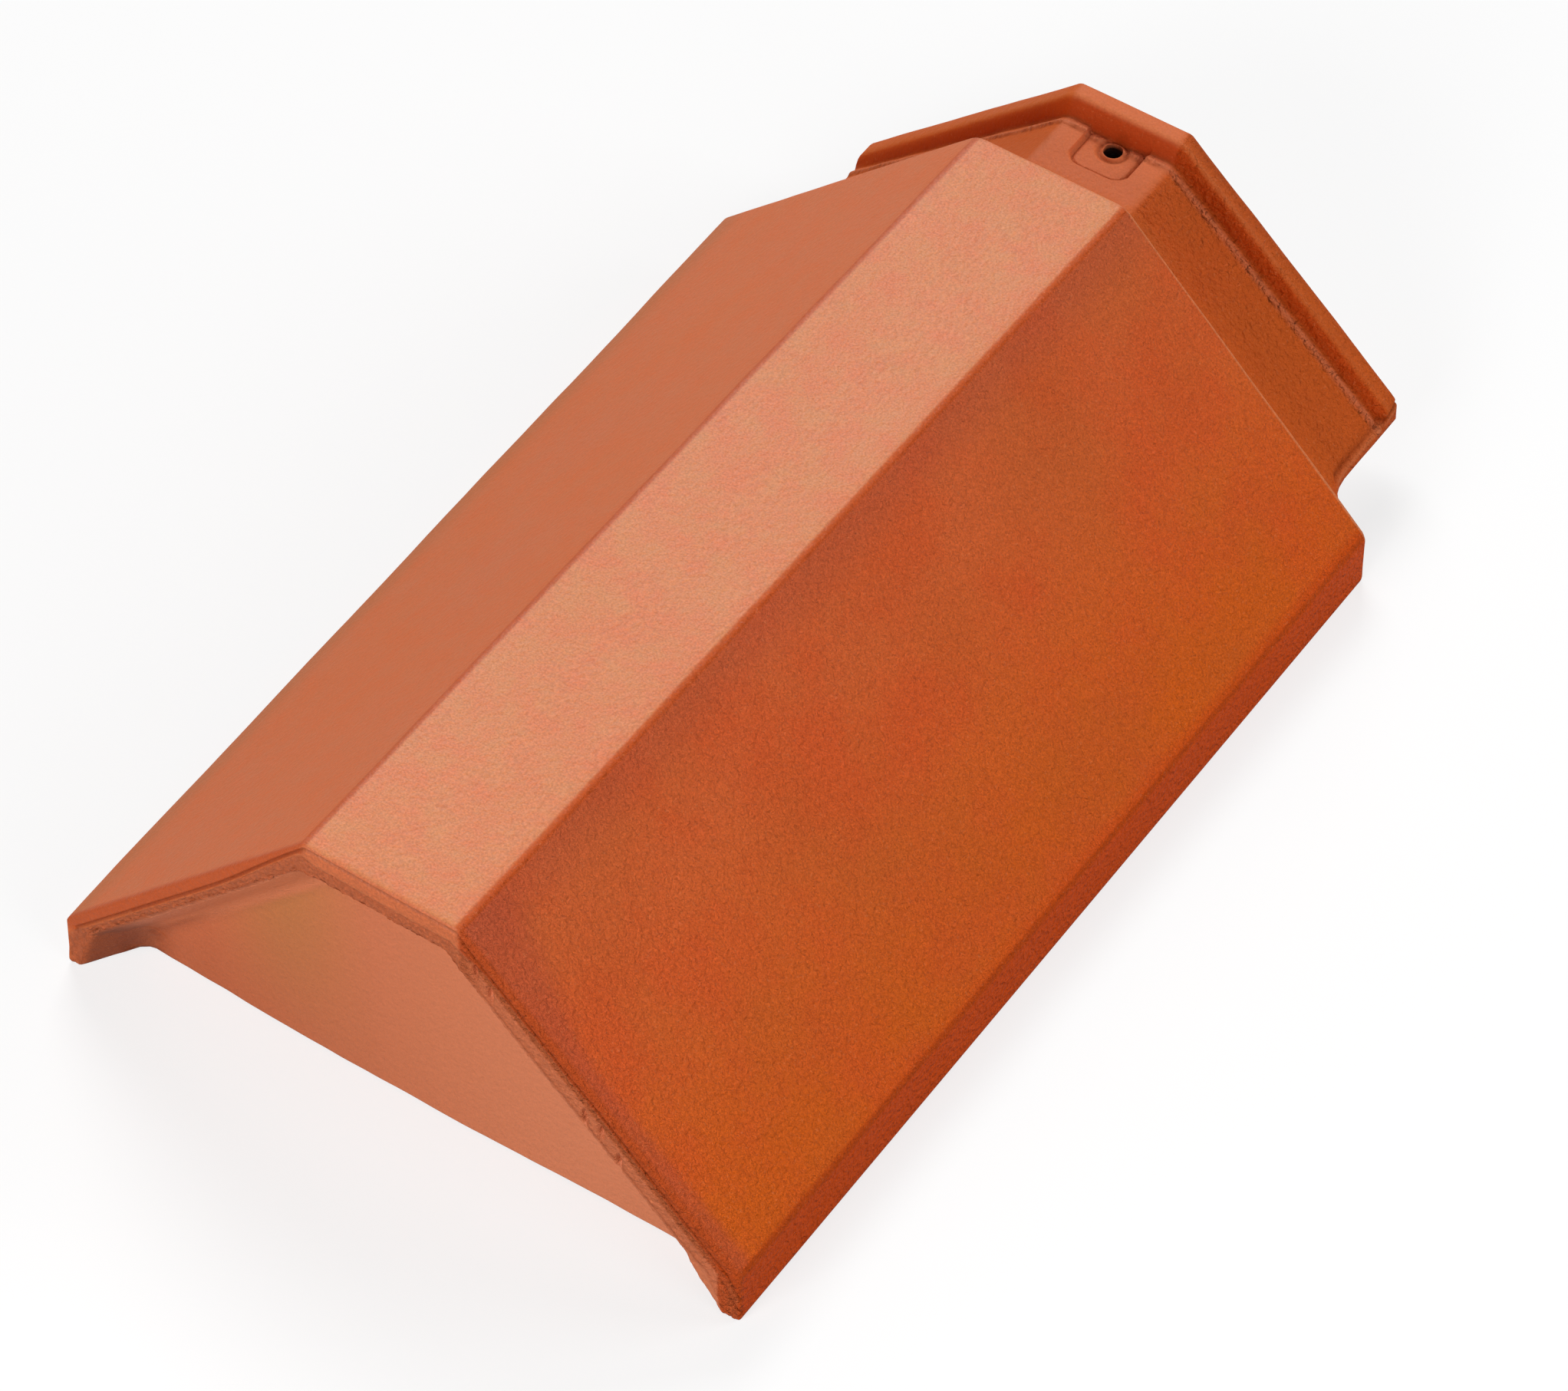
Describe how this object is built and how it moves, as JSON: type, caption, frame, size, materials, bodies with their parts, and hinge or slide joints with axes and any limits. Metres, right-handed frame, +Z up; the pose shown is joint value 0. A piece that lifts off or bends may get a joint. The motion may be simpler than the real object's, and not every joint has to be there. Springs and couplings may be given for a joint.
{
  "type": "clay ridge end tile",
  "caption": "Angular clay ridge tile with one end closed by a set-back wall; the other end is a set-down head with a rim, a clip seat and a screw hole.",
  "frame": {"origin": "centre of the bounding box, at the level of the flanges' feet", "axes": "+X across the ridge, +Y along it from the closed front end to the head, +Z up"},
  "size_m": [0.24, 0.4014, 0.1125],
  "materials": {
    "fired_clay": "natural red engobe, satin, fired on clay; raw clay on the cut front end"
  },
  "bodies": {
    "root": {"ridge_end_tile": "fired_clay"}
  },
  "joints": []
}
